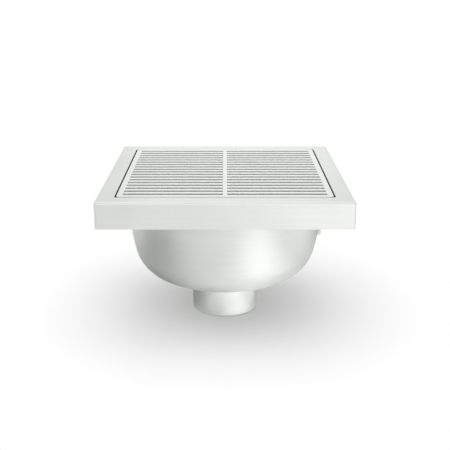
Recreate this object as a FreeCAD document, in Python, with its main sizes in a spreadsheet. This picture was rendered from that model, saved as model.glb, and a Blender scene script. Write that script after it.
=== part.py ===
"""Stainless floor sink: square rim with a loose slotted grate, round bowl, pipe outlet and strainer.

Millimetres, +Z up, front towards -Y. The origin is the centre of the outlet's lower end.
"""
import FreeCAD, Part
import math
import os
import re
import Sketcher
from FreeCAD import Vector

# Driving dimensions: alias, value, meaning
SIZES = (
    ("rim_width", 305.0, "rim, edge to edge"),
    ("skirt_height", 33.0, "rim top to the skirt's lower edge"),
    ("sheet", 1.5, "wall of the rim, recess, seat and bowl"),
    ("rim_bend", 3.0, "outside radius of the rim's folded edges and corners"),
    ("rim_inner_round", 0.8, "round on the flange's inner edge"),
    ("recess_width", 262.6, "opening that takes the grate"),
    ("recess_depth", 21.5, "rim top to the seat"),
    ("recess_corner", 4.0, "inner corner radius of the recess"),
    ("bowl_margin", 0.9, "recess wall's inside to the bowl's upper edge, each side"),
    ("bowl_depth", 125.9, "bowl's upper edge to its underside at the outlet"),
    ("bowl_wall_curve", 352.0, "radius of the bowl wall's gentle curve"),
    ("bowl_knuckle", 49.0, "radius where the bowl wall turns into the floor"),
    ("bowl_floor_slope", 12.8, "fall of the bowl's floor, degrees"),
    ("outlet_diameter", 88.9, "outside of the outlet pipe"),
    ("outlet_wall", 2.1, "wall of the outlet pipe"),
    ("outlet_length", 43.6, "outlet pipe below the bowl"),
    ("neck_step", 1.0, "turned shoulder of the outlet pipe, on which the bowl's floor sits"),
    ("weld_gap", 0.1, "root gap at the curved weld seams"),
    ("lug_bearing", 15.0, "lug's direction from +X towards the rear, degrees"),
    ("lug_reach", 9.2, "lug's outer edge beyond the bowl's upper edge"),
    ("lug_drop", 78.6, "bowl's upper edge to the lug's lower edge"),
    ("lug_height", 24.0, "lug, upright"),
    ("lug_thickness", 3.0, "lug plate"),
    ("lug_corner", 3.0, "lug's outer corner radius"),
    ("lug_hole", 6.6, "clearance hole for an M6 bolt"),
    ("lug_hole_inset", 8.0, "hole's centre from the lug's outer edge"),
    ("grate_gap", 2.0, "gap between grate and recess wall, each side"),
    ("grate_plate_thickness", 3.0, "grate plate"),
    ("grate_corner", 6.0, "grate's corner radius"),
    ("grate_edge_round", 0.6, "round on the grate's upper edge"),
    ("slot_width", 6.75, "grate slot, front to rear"),
    ("slot_count", 18, "slots in each of the two columns"),
    ("centre_rib", 5.3, "rib between the two columns of slots"),
    ("side_rail", 6.9, "plate left between the slots and the grate's side edge"),
    ("end_rail", 9.05, "plate left between the slots and the grate's front and rear edges"),
    ("edge_bar_width", 3.0, "flat bars under the grate's edges"),
    ("centre_bar_inset", 0.15, "centre rib's edge to the face of the bar under it"),
    ("centre_bar_height", 12.0, "flat bar under the grate's centre rib"),
    ("pad_size", 14.0, "rubber pad, each way"),
    ("pad_thickness", 2.5, "rubber pad"),
    ("ring_clearance", 0.25, "strainer ring inside the outside of the pipe's neck"),
    ("ring_width", 5.2, "strainer ring, inside to outside"),
    ("ring_thickness", 2.0, "strainer ring"),
    ("dome_inset", 1.2, "strainer ring's outer edge to the dome's foot"),
    ("dome_height", 30.0, "strainer dome"),
    ("dome_sheet", 1.5, "wall of the strainer dome"),
    ("dome_flat_radius", 12.0, "flat on top of the strainer dome"),
    ("dome_slot_count", 16, "slots round the strainer dome"),
    ("dome_slot_width", 4.0, "strainer slot"),
    ("dome_slot_foot", 4.0, "slot's lower end above the dome's foot"),
    ("dome_slot_head", 5.0, "slot's upper end below the dome's top"),
    ("leg_count", 3, "legs under the strainer ring"),
    ("leg_clearance", 0.5, "legs inside the pipe's bore"),
    ("leg_width", 12.0, "strainer leg"),
    ("leg_thickness", 1.5, "strainer leg"),
    ("leg_length", 18.0, "strainer leg"),
    ("loop_wire", 4.0, "lifting loop's wire"),
    ("loop_span", 16.0, "lifting loop's legs, centre to centre"),
    ("loop_leg", 8.0, "straight part of the lifting loop"),
)

# Heights and widths that follow from the driving dimensions: alias, formula
DERIVED = (
    ("bowl_top_z", "outlet_length + bowl_depth"),
    ("seat_top_z", "bowl_top_z + sheet"),
    ("rim_top_z", "seat_top_z + recess_depth"),
    ("recess_outside", "recess_width + 2 * sheet"),
    ("outlet_radius", "outlet_diameter / 2"),
    ("bore_radius", "outlet_radius - outlet_wall"),
    ("outlet_top_z", "outlet_length + sheet / cos(bowl_floor_slope)"),
    ("bowl_top_radius", "recess_width / 2 - bowl_margin"),
    ("neck_radius", "outlet_radius - neck_step"),
    ("drain_radius", "neck_radius + weld_gap"),
    ("wall_centre_r", "bowl_top_radius - bowl_wall_curve"),
    ("lug_tip_radius", "bowl_top_radius + lug_reach"),
    ("lug_foot_z", "bowl_top_z - lug_drop"),
    ("grate_width", "recess_width - 2 * grate_gap"),
    ("slot_outer_x", "grate_width / 2 - side_rail"),
    ("slot_travel", "grate_width - 2 * end_rail - slot_width"),
    ("plate_foot_z", "rim_top_z - grate_plate_thickness"),
    ("bar_foot_z", "seat_top_z + pad_thickness"),
    ("bar_length", "grate_width - 2 * grate_corner"),
    ("centre_bar_width", "centre_rib - 2 * centre_bar_inset"),
    ("leg_face_x", "sqrt((bore_radius - leg_clearance) ^ 2 - (leg_width / 2) ^ 2)"),
    ("ring_radius", "neck_radius - ring_clearance"),
    ("ring_top_z", "outlet_top_z + ring_thickness"),
    ("dome_radius", "ring_radius - dome_inset"),
    ("dome_centre_z", "(dome_flat_radius ^ 2 + dome_height ^ 2 - dome_radius ^ 2) / (2 * dome_height)"),
)
ALIASES = {entry[0] for entry in SIZES + DERIVED}
# A sketch numbers a line's ends and a circle's centre from 1, and its own two axes from -1 downwards
START, END, CENTRE = range(1, 4)
X_LINE, Z_LINE = range(-1, -3, -1)
ORIGIN_POINT = (X_LINE, START)
SAME = 1e-6
SQUARE_CORNERS = "4"

doc = FreeCAD.newDocument("floor_sink")
sizes = doc.addObject("Spreadsheet::Sheet", "sizes")
for row, (alias, value, meaning) in enumerate(SIZES, start=1):
    sizes.set(f"A{row}", meaning)
    sizes.set(f"B{row}", str(value))
    sizes.setAlias(f"B{row}", alias)
for row, (alias, formula) in enumerate(DERIVED, start=len(SIZES) + 1):
    sizes.set(f"B{row}", f"={formula}")
    sizes.setAlias(f"B{row}", alias)
gauge = doc.addObject("App::FeaturePython", "gauge")
gauge.addProperty("App::PropertyFloat", "Reading", "Base", "Present value of one formula")
doc.recompute()

sub_parts = []


def bound(formula):
    """A formula in the sheet's aliases, as an expression that any object can hold."""
    return re.sub(r"[a-z_]+", lambda word: f"sizes.{word[0]}" if word[0] in ALIASES else word[0], formula)


def measure(formula):
    """The present value of a formula, as a plain number."""
    gauge.setExpression("Reading", bound(formula))
    gauge.recompute()
    return gauge.Reading


def new_body(label, height=None):
    """An empty body, which becomes the sub-part of that name, raised by a formula."""
    body = doc.addObject("PartDesign::Body", label)
    body.Label = label
    body.AllowCompound = True
    if height:
        body.setExpression("Placement.Base.z", bound(height))
    sub_parts.append(body)
    return body


def origin_feature(body, role):
    """One of a body's own origin planes or axes."""
    return next(feature for feature in body.Origin.OriginFeatures if feature.Role == role)


def new_sketch(body, name, plane="XY_Plane"):
    """A sketch on one of the body's origin planes."""
    sketch = body.newObject("Sketcher::SketchObject", f"{body.Name}_{name}")
    sketch.AttachmentSupport = (origin_feature(body, plane), [""])
    sketch.MapMode = "FlatFace"
    return sketch


def drive(sketch, formula, kind, *where):
    """Adds a constraint whose value follows a formula."""
    index = sketch.addConstraint(Sketcher.Constraint(kind, *where, measure(formula)))
    sketch.setExpression(f"Constraints[{index}]", bound(formula))


def drive_angle(sketch, formula, line):
    """Holds a line at an angle, in degrees, to the sketch's X axis."""
    start = math.radians(measure(formula))
    index = sketch.addConstraint(Sketcher.Constraint("Angle", line, start))
    sketch.setExpression(f"Constraints[{index}]", f"{bound(formula)} * 1 deg")


def drive_point(sketch, line, end, x_formula, y_formula):
    """Holds a point of the sketch at a place."""
    drive(sketch, x_formula, "DistanceX", *ORIGIN_POINT, line, end)
    drive(sketch, y_formula, "DistanceY", *ORIGIN_POINT, line, end)


def add_lines(sketch, points):
    """A chain of lines through the points. Returns the lines' numbers."""
    chain = []
    for here, there in zip(points, points[1:]):
        chain.append(sketch.addGeometry(Part.LineSegment(Vector(*here, 0), Vector(*there, 0))))
    for before, after in zip(chain, chain[1:]):
        sketch.addConstraint(Sketcher.Constraint("Coincident", before, END, after, START))
    return chain


def add_rectangle(sketch, left, bottom, right, top):
    """A rectangle between four formulas."""
    x0, y0, x1, y1 = (measure(formula) for formula in (left, bottom, right, top))
    low, far, high, near = add_lines(sketch, [(x0, y0), (x1, y0), (x1, y1), (x0, y1), (x0, y0)])
    sketch.addConstraint(Sketcher.Constraint("Coincident", near, END, low, START))
    for level in (low, high):
        sketch.addConstraint(Sketcher.Constraint("Horizontal", level))
    for upright in (far, near):
        sketch.addConstraint(Sketcher.Constraint("Vertical", upright))
    drive_point(sketch, low, START, left, bottom)
    drive_point(sketch, high, START, right, top)


def add_circle(sketch, radius):
    """A circle about the sketch's origin."""
    circle = sketch.addGeometry(Part.Circle(Vector(0, 0, 0), Vector(0, 0, 1), measure(radius)))
    sketch.addConstraint(Sketcher.Constraint("Coincident", circle, CENTRE, *ORIGIN_POINT))
    drive(sketch, radius, "Radius", circle)


def arc_between(centre, from_point, to_point):
    """The arc round a centre that runs anticlockwise from one point to another."""
    angles = [math.atan2(point[1] - centre[1], point[0] - centre[0]) for point in (from_point, to_point)]
    circle = Part.Circle(Vector(*centre, 0), Vector(0, 0, 1), math.dist(centre, from_point))
    return Part.ArcOfCircle(circle, *angles)


def add_rounded_square(sketch, width, corner):
    """A square about the sketch's origin, with rounded corners."""
    half, radius = measure(f"{width} / 2"), measure(corner)
    inset = half - radius
    sides, arcs = [], []
    for quarter in range(4):
        turn = FreeCAD.Rotation(Vector(0, 0, 1), 90 * quarter)
        low, high = turn.multVec(Vector(half, -inset, 0)), turn.multVec(Vector(half, inset, 0))
        centre, far = turn.multVec(Vector(inset, inset, 0)), turn.multVec(Vector(inset, half, 0))
        sides.append(sketch.addGeometry(Part.LineSegment(low, high)))
        arcs.append(sketch.addGeometry(arc_between(centre[:2], high[:2], far[:2])))
    right, top, left, bottom = sides
    for number, arc in enumerate(arcs):
        sketch.addConstraint(Sketcher.Constraint("Tangent", sides[number], END, arc, START))
        sketch.addConstraint(Sketcher.Constraint("Tangent", arc, END, sides[(number + 1) % 4], START))
        if number:
            sketch.addConstraint(Sketcher.Constraint("Equal", arcs[0], arc))
    for upright in (right, left):
        sketch.addConstraint(Sketcher.Constraint("Vertical", upright))
    for level in (top, bottom):
        sketch.addConstraint(Sketcher.Constraint("Horizontal", level))
    drive(sketch, corner, "Radius", arcs[0])
    drive(sketch, f"{width} / 2", "DistanceX", *ORIGIN_POINT, right, START)
    drive(sketch, f"{width} / 2", "DistanceY", *ORIGIN_POINT, top, START)
    drive(sketch, f"{width} / 2", "DistanceX", left, START, *ORIGIN_POINT)
    drive(sketch, f"{width} / 2", "DistanceY", bottom, START, *ORIGIN_POINT)


def pad(body, sketch, height, symmetric=False):
    """Adds material along the sketch's normal."""
    feature = body.newObject("PartDesign::Pad", f"{body.Name}_pad")
    feature.Profile = sketch
    feature.SideType = "Symmetric" if symmetric else "One side"
    feature.setExpression("Length", bound(height))
    doc.recompute()
    return feature


def pocket(body, sketch, name, width=None):
    """Cuts the sketch's outline both ways from its plane, to a width or right through."""
    before = body.Shape.Volume
    feature = body.newObject("PartDesign::Pocket", f"{body.Name}_{name}")
    feature.Profile = sketch
    feature.SideType = "Symmetric"
    if width:
        feature.setExpression("Length", bound(width))
    else:
        feature.Type = "ThroughAll"
    doc.recompute()
    if body.Shape.Volume >= before:
        raise RuntimeError(f"{body.Label}: {name} cuts nothing")
    return feature


def revolve(body, sketch):
    """Turns an outline in the XZ plane once round the Z axis."""
    feature = body.newObject("PartDesign::Revolution", f"{body.Name}_turn")
    feature.Profile = sketch
    feature.ReferenceAxis = (origin_feature(body, "Z_Axis"), [""])
    feature.Angle = 360
    doc.recompute()
    return feature


def hollow(body, feature, wall, open_heights):
    """Leaves a wall inside the faces of a solid, open at its flat faces at some heights."""
    faces = []
    for number, face in enumerate(feature.Shape.Faces, start=1):
        box = face.BoundBox
        if box.ZLength < SAME and any(abs(box.ZMin - height) < SAME for height in open_heights):
            faces.append(f"Face{number}")
    shell = body.newObject("PartDesign::Thickness", f"{body.Name}_wall")
    shell.Base = (feature, faces)
    shell.Reversed = True
    shell.Join = "Intersection"
    shell.setExpression("Value", bound(wall))
    doc.recompute()
    return shell


def round_edges(body, feature, radius, name, chosen):
    """Rounds the edges of a feature that a test chooses."""
    edges = [f"Edge{number}" for number, edge in enumerate(feature.Shape.Edges, start=1) if chosen(edge)]
    fillet = body.newObject("PartDesign::Fillet", f"{body.Name}_{name}")
    fillet.Base = (feature, edges)
    fillet.setExpression("Radius", bound(radius))
    doc.recompute()
    return fillet


def level_at(height):
    """A test for edges that lie wholly at a height."""
    return lambda edge: edge.BoundBox.ZLength < SAME and abs(edge.BoundBox.ZMin - height) < SAME


def repeat_round(body, feature, count):
    """Copies a feature evenly round the Z axis."""
    pattern = body.newObject("PartDesign::PolarPattern", f"{body.Name}_round")
    pattern.Originals = [feature]
    pattern.Axis = (origin_feature(body, "Z_Axis"), [""])
    pattern.Angle = 360
    pattern.setExpression("Occurrences", bound(count))
    body.Tip = pattern
    doc.recompute()


def rim_frame():
    """Square flange with its folded skirt and the opening for the recess."""
    body = new_body("rim_frame", "rim_top_z - skirt_height")
    outline = new_sketch(body, "outline")
    add_rounded_square(outline, "rim_width", "rim_bend")
    block = pad(body, outline, "skirt_height")
    at_top = level_at(measure("skirt_height"))
    folded = round_edges(body, block, "rim_bend", "fold", at_top)
    hollow(body, folded, "sheet", [0.0])
    opening = new_sketch(body, "opening")
    add_rounded_square(opening, "recess_width", "recess_corner")
    opened = pocket(body, opening, "opening_cut")
    reach = measure("recess_width / 2 + rim_inner_round")
    round_edges(body, opened, "rim_inner_round", "opening_edge",
                lambda edge: at_top(edge) and edge.BoundBox.XMax < reach and edge.BoundBox.YMax < reach
                and edge.BoundBox.XMin > -reach and edge.BoundBox.YMin > -reach)


def recess_frame():
    """Four-sided wall under the flange, round the grate."""
    body = new_body("recess_frame", "seat_top_z")
    section = new_sketch(body, "section")
    add_rounded_square(section, "recess_outside", "recess_corner + sheet")
    add_rounded_square(section, "recess_width", "recess_corner")
    pad(body, section, "recess_depth - sheet")


def seat_plate():
    """Floor of the recess, with the round opening over the bowl."""
    body = new_body("seat_plate", "bowl_top_z")
    section = new_sketch(body, "section")
    add_rounded_square(section, "recess_outside", "recess_corner + sheet")
    add_circle(section, "bowl_top_radius - sheet")
    pad(body, section, "sheet")


def seat_pads():
    """Rubber pads on the seat, one under each corner of the grate."""
    body = new_body("seat_pads", "seat_top_z")
    outline = new_sketch(body, "outline")
    inner = "grate_width / 2 - pad_size"
    add_rectangle(outline, inner, inner, "grate_width / 2", "grate_width / 2")
    repeat_round(body, pad(body, outline, "pad_thickness"), SQUARE_CORNERS)


def bowl_section():
    """Points of the bowl's section, from its driving dimensions."""
    wall, knuckle, sheet = measure("bowl_wall_curve"), measure("bowl_knuckle"), measure("sheet")
    slope = math.radians(measure("bowl_floor_slope"))
    fall = Vector(math.cos(slope), math.sin(slope), 0)
    across = Vector(-math.sin(slope), math.cos(slope), 0)
    wall_centre = Vector(measure("wall_centre_r"), measure("bowl_top_z"), 0)
    drain = Vector(measure("drain_radius"), measure("outlet_length"), 0)
    # The knuckle's centre lies one knuckle radius above the floor and touches the wall's arc from inside
    start = drain + across * knuckle
    offset = start - wall_centre
    along = offset.dot(fall)
    run = math.sqrt(along ** 2 - offset.dot(offset) + (wall - knuckle) ** 2) - along
    knuckle_centre = start + fall * run
    outward = (knuckle_centre - wall_centre).normalize()
    layers = []
    for inset in (0, sheet):
        floor_end = knuckle_centre - across * (knuckle - inset)
        floor_start = floor_end - fall * ((floor_end.x - drain.x) / fall.x)
        wall_end = wall_centre + outward * (wall - inset)
        rim_end = wall_centre + Vector(wall - inset, 0, 0)
        layers.append((floor_start, floor_end, wall_end, rim_end))
    return wall_centre, knuckle_centre, layers


def bowl():
    """Drawn bowl: gently curved wall, knuckle and sloped floor with the outlet's hole."""
    body = new_body("bowl")
    section = new_sketch(body, "section", "XZ_Plane")
    wall_centre, knuckle_centre, layers = bowl_section()
    chains = []
    for floor_start, floor_end, wall_end, rim_end in layers:
        floor = section.addGeometry(Part.LineSegment(floor_start, floor_end))
        knuckle = section.addGeometry(arc_between(knuckle_centre[:2], floor_end[:2], wall_end[:2]))
        wall = section.addGeometry(arc_between(wall_centre[:2], wall_end[:2], rim_end[:2]))
        section.addConstraint(Sketcher.Constraint("Tangent", floor, END, knuckle, START))
        section.addConstraint(Sketcher.Constraint("Tangent", knuckle, END, wall, START))
        chains.append((floor, knuckle, wall))
    (floor, knuckle, wall), (inner_floor, inner_knuckle, inner_wall) = chains
    drain_edge = section.addGeometry(Part.LineSegment(layers[0][0], layers[1][0]))
    rim_edge = section.addGeometry(Part.LineSegment(layers[0][-1], layers[1][-1]))
    closing = ((drain_edge, START, floor, inner_floor), (rim_edge, END, wall, inner_wall))
    for edge, end, outer, inner in closing:
        section.addConstraint(Sketcher.Constraint("Coincident", edge, START, outer, end))
        section.addConstraint(Sketcher.Constraint("Coincident", edge, END, inner, end))
    section.addConstraint(Sketcher.Constraint("Coincident", inner_wall, CENTRE, wall, CENTRE))
    section.addConstraint(Sketcher.Constraint("Coincident", inner_knuckle, CENTRE, knuckle, CENTRE))
    section.addConstraint(Sketcher.Constraint("Vertical", drain_edge))
    drive_point(section, floor, START, "drain_radius", "outlet_length")
    drive_point(section, wall, CENTRE, "wall_centre_r", "bowl_top_z")
    drive_point(section, rim_edge, START, "bowl_top_radius", "bowl_top_z")
    drive_point(section, rim_edge, END, "bowl_top_radius - sheet", "bowl_top_z")
    drive(section, "bowl_knuckle", "Radius", knuckle)
    drive_angle(section, "bowl_floor_slope", floor)
    revolve(body, section)


def outlet_spigot():
    """Plain pipe end, with a neck that stands in the bowl's hole."""
    body = new_body("outlet_spigot")
    lengths = (("pipe", "outlet_radius", "outlet_length"), ("neck", "neck_radius", "outlet_top_z"))
    for name, radius, height in lengths:
        section = new_sketch(body, name)
        add_circle(section, radius)
        add_circle(section, "bore_radius")
        pad(body, section, height)


def bonding_lug():
    """Drilled plate, welded on edge to the bowl's wall."""
    body = new_body("bonding_lug")
    body.Placement.Rotation = FreeCAD.Rotation(Vector(0, 0, 1), measure("lug_bearing"))
    body.setExpression("Placement.Rotation.Angle", f"{bound('lug_bearing')} * 1 deg")
    outline = new_sketch(body, "outline", "XZ_Plane")
    low, tip = measure("lug_foot_z"), measure("lug_tip_radius")
    high = low + measure("lug_height")
    centre = (measure("wall_centre_r"), measure("bowl_top_z"))
    curve = measure("bowl_wall_curve + weld_gap")
    low_root, high_root = (
        (centre[0] + math.sqrt(curve ** 2 - (level - centre[1]) ** 2), level) for level in (low, high)
    )
    foot, edge, head = add_lines(outline, [low_root, (tip, low), (tip, high), high_root])
    root = outline.addGeometry(arc_between(centre, low_root, high_root))
    outline.addConstraint(Sketcher.Constraint("Coincident", root, START, foot, START))
    outline.addConstraint(Sketcher.Constraint("Coincident", root, END, head, END))
    outline.addConstraint(Sketcher.Constraint("Horizontal", foot))
    outline.addConstraint(Sketcher.Constraint("Horizontal", head))
    outline.addConstraint(Sketcher.Constraint("Vertical", edge))
    drive_point(outline, edge, START, "lug_tip_radius", "lug_foot_z")
    drive(outline, "lug_height", "DistanceY", edge, START, edge, END)
    drive_point(outline, root, CENTRE, "wall_centre_r", "bowl_top_z")
    drive(outline, "bowl_wall_curve + weld_gap", "Radius", root)
    plate = pad(body, outline, "lug_thickness", symmetric=True)

    def tip_corner(edge):
        box = edge.BoundBox
        return box.YLength > SAME and box.ZLength < SAME and box.XMin > tip - SAME

    round_edges(body, plate, "lug_corner", "corners", tip_corner)
    hole = new_sketch(body, "hole", "XZ_Plane")
    middle = ("lug_tip_radius - lug_hole_inset", "lug_foot_z + lug_height / 2")
    place = Vector(measure(middle[0]), measure(middle[1]), 0)
    circle = hole.addGeometry(Part.Circle(place, Vector(0, 0, 1), measure("lug_hole / 2")))
    drive_point(hole, circle, CENTRE, *middle)
    drive(hole, "lug_hole / 2", "Radius", circle)
    pocket(body, hole, "hole_cut")


def grate_plate():
    """Slotted plate, flush with the rim."""
    body = new_body("grate_plate", "plate_foot_z")
    outline = new_sketch(body, "outline")
    add_rounded_square(outline, "grate_width", "grate_corner")
    block = pad(body, outline, "grate_plate_thickness")
    round_edges(body, block, "grate_edge_round", "edge", level_at(measure("grate_plate_thickness")))
    slots = new_sketch(body, "first_slots")
    front, rear = "-slot_travel / 2 - slot_width / 2", "-slot_travel / 2 + slot_width / 2"
    add_rectangle(slots, "-slot_outer_x", front, "-centre_rib / 2", rear)
    add_rectangle(slots, "centre_rib / 2", front, "slot_outer_x", rear)
    first = pocket(body, slots, "first_slots_cut")
    pattern = body.newObject("PartDesign::LinearPattern", "grate_plate_slots")
    pattern.Originals = [first]
    pattern.Direction = (origin_feature(body, "Y_Axis"), [""])
    pattern.setExpression("Length", bound("slot_travel"))
    pattern.setExpression("Occurrences", bound("slot_count"))
    body.Tip = pattern
    doc.recompute()


def grate_bars():
    """Flat bars on edge under the grate's sides, ends and centre rib."""
    outer, inner = "grate_width / 2", "grate_width / 2 - edge_bar_width"
    half = "bar_length / 2"
    sides = new_body("grate_side_bars", "bar_foot_z")
    side_outline = new_sketch(sides, "outline")
    add_rectangle(side_outline, f"-({outer})", f"-{half}", f"-({inner})", half)
    add_rectangle(side_outline, inner, f"-{half}", outer, half)
    pad(sides, side_outline, "plate_foot_z - bar_foot_z")
    ends = new_body("grate_end_bars", "bar_foot_z")
    end_outline = new_sketch(ends, "outline")
    add_rectangle(end_outline, f"-{half}", f"-({outer})", half, f"-({inner})")
    add_rectangle(end_outline, f"-{half}", inner, half, outer)
    pad(ends, end_outline, "plate_foot_z - bar_foot_z")
    centre = new_body("grate_centre_bar", "plate_foot_z - centre_bar_height")
    centre_outline = new_sketch(centre, "outline")
    width = "centre_bar_width / 2"
    add_rectangle(centre_outline, f"-{width}", f"-({inner})", width, inner)
    pad(centre, centre_outline, "centre_bar_height")


def strainer_ring():
    """Flat ring that rests on the outlet's upper end."""
    body = new_body("strainer_ring", "outlet_top_z")
    section = new_sketch(body, "section")
    add_circle(section, "ring_radius")
    add_circle(section, "ring_radius - ring_width")
    pad(body, section, "ring_thickness")


def strainer_legs():
    """Strips under the ring that keep the strainer centred in the outlet."""
    body = new_body("strainer_legs", "outlet_top_z - leg_length")
    leg = new_sketch(body, "leg")
    add_rectangle(leg, "leg_face_x - leg_thickness", "-leg_width / 2", "leg_face_x", "leg_width / 2")
    repeat_round(body, pad(body, leg, "leg_length"), "leg_count")


def strainer_dome():
    """Slotted dome with a flat top, standing on the ring."""
    body = new_body("strainer_dome", "ring_top_z")
    outline = new_sketch(body, "outline", "XZ_Plane")
    foot, flat, height = measure("dome_radius"), measure("dome_flat_radius"), measure("dome_height")
    base, axis, lid = add_lines(outline, [(foot, 0), (0, 0), (0, height), (flat, height)])
    cap = outline.addGeometry(arc_between((0, measure("dome_centre_z")), (foot, 0), (flat, height)))
    outline.addConstraint(Sketcher.Constraint("Coincident", cap, START, base, START))
    outline.addConstraint(Sketcher.Constraint("Coincident", cap, END, lid, END))
    outline.addConstraint(Sketcher.Constraint("Coincident", axis, START, *ORIGIN_POINT))
    outline.addConstraint(Sketcher.Constraint("Vertical", axis))
    outline.addConstraint(Sketcher.Constraint("Horizontal", base))
    outline.addConstraint(Sketcher.Constraint("Horizontal", lid))
    outline.addConstraint(Sketcher.Constraint("PointOnObject", cap, CENTRE, Z_LINE))
    drive(outline, "dome_radius", "DistanceX", *ORIGIN_POINT, base, START)
    drive_point(outline, lid, END, "dome_flat_radius", "dome_height")
    hollow(body, revolve(body, outline), "dome_sheet", [0.0])
    slot = new_sketch(body, "slot", "XZ_Plane")
    add_rectangle(slot, "dome_flat_radius + dome_sheet", "dome_slot_foot",
                  "dome_radius + dome_sheet", "dome_height - dome_slot_head")
    repeat_round(body, pocket(body, slot, "slot_cut", "dome_slot_width"), "dome_slot_count")


def strainer_loop():
    """Bent wire loop on the dome's flat top."""
    body = new_body("strainer_loop", "ring_top_z + dome_height")
    path = new_sketch(body, "path", "XZ_Plane")
    side, straight = measure("loop_span / 2"), measure("loop_leg")
    rising = path.addGeometry(Part.LineSegment(Vector(side, 0, 0), Vector(side, straight, 0)))
    bend = path.addGeometry(arc_between((0, straight), (side, straight), (-side, straight)))
    falling = path.addGeometry(Part.LineSegment(Vector(-side, straight, 0), Vector(-side, 0, 0)))
    path.addConstraint(Sketcher.Constraint("Tangent", rising, END, bend, START))
    path.addConstraint(Sketcher.Constraint("Tangent", bend, END, falling, START))
    path.addConstraint(Sketcher.Constraint("Vertical", rising))
    path.addConstraint(Sketcher.Constraint("Vertical", falling))
    path.addConstraint(Sketcher.Constraint("PointOnObject", rising, START, X_LINE))
    path.addConstraint(Sketcher.Constraint("PointOnObject", falling, END, X_LINE))
    path.addConstraint(Sketcher.Constraint("PointOnObject", bend, CENTRE, Z_LINE))
    drive(path, "loop_span / 2", "DistanceX", *ORIGIN_POINT, rising, START)
    drive(path, "loop_leg", "DistanceY", rising, START, rising, END)
    wire = new_sketch(body, "wire")
    circle = wire.addGeometry(Part.Circle(Vector(side, 0, 0), Vector(0, 0, 1), measure("loop_wire / 2")))
    wire.addConstraint(Sketcher.Constraint("PointOnObject", circle, CENTRE, X_LINE))
    drive(wire, "loop_span / 2", "DistanceX", *ORIGIN_POINT, circle, CENTRE)
    drive(wire, "loop_wire / 2", "Radius", circle)
    pipe = body.newObject("PartDesign::AdditivePipe", "strainer_loop_pipe")
    pipe.Profile = wire
    pipe.Spine = path
    doc.recompute()


def check_all():
    """Stops the build if any object failed or any sub-part has no sound shape."""
    for item in doc.Objects:
        if "Invalid" in item.State or "Error" in item.State:
            raise RuntimeError(f"{item.Name}: {item.State}")
    for body in sub_parts:
        if body.Shape.isNull() or not body.Shape.isValid() or not body.Shape.Solids:
            raise RuntimeError(f"{body.Label}: no sound shape")


def write_all():
    """Writes each sub-part to a file of its own name."""
    os.makedirs("parts", exist_ok=True)
    for body in sub_parts:
        body.Shape.exportStep(os.path.join("parts", f"{body.Label}.step"))
        box = body.Shape.optimalBoundingBox(False)
        lengths = f"{box.XLength:.1f} x {box.YLength:.1f} x {box.ZLength:.1f} mm"
        print(f"{body.Label}: {len(body.Shape.Solids)} solids, {body.Shape.Volume:.0f} mm3, {lengths}")


rim_frame()
recess_frame()
seat_plate()
seat_pads()
bowl()
outlet_spigot()
bonding_lug()
grate_plate()
grate_bars()
strainer_ring()
strainer_legs()
strainer_dome()
strainer_loop()
doc.recompute()
check_all()
write_all()
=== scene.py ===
"""Looks of a stainless floor sink: detailed pieces, finishes and a plain studio. Metres, +Z up, front -Y."""
import math

import bmesh
import bpy
from bpy.props import FloatProperty, FloatVectorProperty, IntProperty, PointerProperty
from mathutils import Matrix, Vector


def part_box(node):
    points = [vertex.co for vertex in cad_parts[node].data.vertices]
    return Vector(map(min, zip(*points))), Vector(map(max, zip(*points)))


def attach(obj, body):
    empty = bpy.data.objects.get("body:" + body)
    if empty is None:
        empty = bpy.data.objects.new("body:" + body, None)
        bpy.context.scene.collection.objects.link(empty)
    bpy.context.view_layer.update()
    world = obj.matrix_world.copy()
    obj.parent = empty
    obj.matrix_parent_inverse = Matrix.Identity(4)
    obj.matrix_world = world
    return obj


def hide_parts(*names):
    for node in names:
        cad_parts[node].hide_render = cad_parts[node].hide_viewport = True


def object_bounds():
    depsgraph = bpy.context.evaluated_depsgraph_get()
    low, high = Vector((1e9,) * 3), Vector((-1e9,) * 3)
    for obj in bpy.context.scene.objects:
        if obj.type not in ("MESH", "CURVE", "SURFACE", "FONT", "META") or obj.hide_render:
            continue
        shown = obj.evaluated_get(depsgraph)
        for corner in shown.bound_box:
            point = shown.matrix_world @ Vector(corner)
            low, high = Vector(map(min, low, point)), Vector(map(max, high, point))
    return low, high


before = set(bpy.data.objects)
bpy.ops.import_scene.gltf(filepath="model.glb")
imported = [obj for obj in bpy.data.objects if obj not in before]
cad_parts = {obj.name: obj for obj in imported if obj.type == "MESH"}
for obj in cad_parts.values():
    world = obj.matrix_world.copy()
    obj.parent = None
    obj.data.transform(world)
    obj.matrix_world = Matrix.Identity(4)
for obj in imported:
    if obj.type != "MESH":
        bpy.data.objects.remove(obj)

bl_info = {
    "name": "Floor sink",
    "version": (1, 0, 0),
    "blender": (4, 5, 0),
    "location": "View3D > Sidebar > Floor sink",
    "description": "Detailed pieces, finishes and a studio for a stainless floor sink",
    "category": "Object",
}

CAD_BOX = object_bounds()
SINK, GRATE, STRAINER = "sink", "grate", "strainer"
AXIS = Vector((0, 0, 1))
FULL_TURN = 2 * math.pi
MERGE_DISTANCE = 1e-6

# Steps of turned, bent and rounded shapes
ROUND_STEPS = 180
CORNER_STEPS = 6
EDGE_STEPS = 2
DOME_STEPS = 18
SECTOR_STEPS = 10
WIRE_STEPS = 28
BEND_STEPS = 40

# Weld beads: their steps, the depth of a ripple as a share of the radius, and how blunt their ends are
BEAD_SIDES = 10
RIPPLE_STEPS = 6
DOUBLINGS = 5
RIPPLE_DEPTH = 0.12
END_BLUNTNESS = 4

# Edges that turn more than the first angle are sharp, faces that turn less than the second are one face, and
# a face of the grate whose normal rises less than the third value is a cut edge
SHARP_ANGLE = math.radians(38)
FLAT_ANGLE = math.radians(0.5)
CUT_EDGE_RISE = 0.5


# Settings that a user may change

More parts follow.
